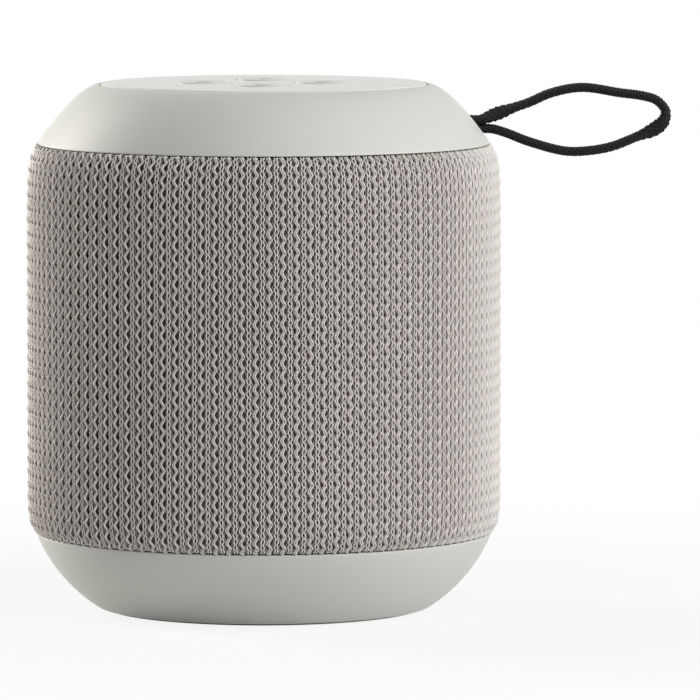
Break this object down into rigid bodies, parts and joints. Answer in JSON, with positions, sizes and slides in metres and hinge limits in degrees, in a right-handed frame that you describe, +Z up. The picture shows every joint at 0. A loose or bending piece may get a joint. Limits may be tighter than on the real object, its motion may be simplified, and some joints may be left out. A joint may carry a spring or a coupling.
{
  "type": "smart speaker",
  "caption": "Small round portable smart speaker with a knitted fabric sleeve, pale rounded end caps, keys on top, a covered charging port at the back and a braided carrying strap.",
  "frame": {"origin": "centre of the foot pad's underside, on the surface that the speaker stands on", "axes": "+Z up along the speaker's axis, +X towards the side that the strap leaves, +Y towards the charging port at the back"},
  "size_m": [0.12, 0.0886, 0.0979],
  "materials": {
    "shell_plastic": "soft-touch light grey moulding",
    "plate_plastic": "satin light grey moulding",
    "key_rubber": "matte silicone",
    "knit": "coarse knitted yarn",
    "dark_plastic": "black moulding",
    "black_rubber": "matte black rubber",
    "grey_rubber": "matte grey foot rubber",
    "braid": "flat braided cord",
    "steel": "plated steel",
    "dark_steel": "black painted steel",
    "magnet_metal": "nickel plated magnet",
    "paper_cone": "coated paper",
    "copper": "enamelled copper wire",
    "spider_cloth": "resin-treated cloth",
    "circuit_board": "green solder mask",
    "chip_epoxy": "black moulded epoxy",
    "can_aluminium": "bare aluminium can",
    "cell_sleeve": "blue film over the cell's can",
    "clear_plastic": "clear moulding",
    "light_lens": "white moulding"
  },
  "bodies": {
    "base": {"foot_pad": "grey_rubber", "bottom_cap": "shell_plastic", "base_screw_1": "steel", "base_screw_2": "steel", "base_screw_3": "steel", "chamber_shell": "dark_plastic", "chamber_baffle": "dark_plastic", "radiator_surround": "black_rubber", "battery_cell": "cell_sleeve", "battery_saddle_left": "dark_plastic", "battery_saddle_right": "dark_plastic", "driver_basket": "dark_steel", "driver_yoke": "dark_steel", "driver_magnet": "magnet_metal", "driver_pole_plate": "steel", "driver_spider": "spider_cloth", "driver_surround": "black_rubber", "driver_gasket": "black_rubber", "driver_screw_1": "steel", "driver_screw_2": "steel", "driver_screw_3": "steel", "driver_screw_4": "steel", "sound_diffuser": "dark_plastic", "main_board": "circuit_board", "bluetooth_module": "can_aluminium", "amplifier_chip": "chip_epoxy", "power_inductor": "dark_steel", "filter_capacitor": "can_aluminium", "status_light": "light_lens", "light_pipe": "clear_plastic", "wiring_harness": "black_rubber", "harness_plug": "light_lens", "control_plate": "plate_plastic", "port_bezel": "dark_plastic", "port_hinge_pin": "steel", "port_board": "circuit_board", "usb_socket": "steel", "top_cap": "shell_plastic", "strap_crimp": "steel", "strap": "braid", "grille_cage": "dark_plastic", "fabric_sleeve": "knit", "volume_up_switch": "chip_epoxy", "play_switch": "chip_epoxy", "volume_down_switch": "chip_epoxy", "power_switch": "chip_epoxy"},
    "volume_up": {"volume_up_key": "key_rubber", "volume_up_plunger": "clear_plastic"},
    "play": {"play_key": "key_rubber", "play_plunger": "clear_plastic"},
    "volume_down": {"volume_down_key": "key_rubber", "volume_down_plunger": "clear_plastic"},
    "power": {"power_key": "key_rubber", "power_plunger": "clear_plastic"},
    "driver_moving": {"voice_coil": "copper", "driver_cone": "paper_cone", "driver_dust_cap": "paper_cone"},
    "radiator_moving": {"radiator_plate": "steel"},
    "port_door": {"port_cover": "black_rubber"}
  },
  "joints": [
    {"name": "volume_up_press", "type": "slide", "parent": "base", "child": "volume_up", "axis": [0, 0, -1], "range_m": [0, 0.0005], "stiffness_N_per_m": 2400},
    {"name": "play_press", "type": "slide", "parent": "base", "child": "play", "axis": [0, 0, -1], "range_m": [0, 0.0005], "stiffness_N_per_m": 2400},
    {"name": "volume_down_press", "type": "slide", "parent": "base", "child": "volume_down", "axis": [0, 0, -1], "range_m": [0, 0.0005], "stiffness_N_per_m": 2400},
    {"name": "power_press", "type": "slide", "parent": "base", "child": "power", "axis": [0, 0, -1], "range_m": [0, 0.0005], "stiffness_N_per_m": 2400},
    {"name": "driver_excursion", "type": "slide", "parent": "base", "child": "driver_moving", "axis": [0, 0, 1], "range_m": [-0.0015, 0.0015], "stiffness_N_per_m": 1500, "deforming": ["driver_surround", "driver_spider"]},
    {"name": "radiator_excursion", "type": "slide", "parent": "base", "child": "radiator_moving", "axis": [0, 0, 1], "range_m": [-0.0015, 0.0015], "stiffness_N_per_m": 2400, "deforming": ["radiator_surround"]},
    {"name": "port_door_hinge", "type": "hinge", "parent": "base", "child": "port_door", "pos_m": [0.006, 0.04282, 0.032], "axis": [0, 0, -1], "range_deg": [0, 100]}
  ]
}
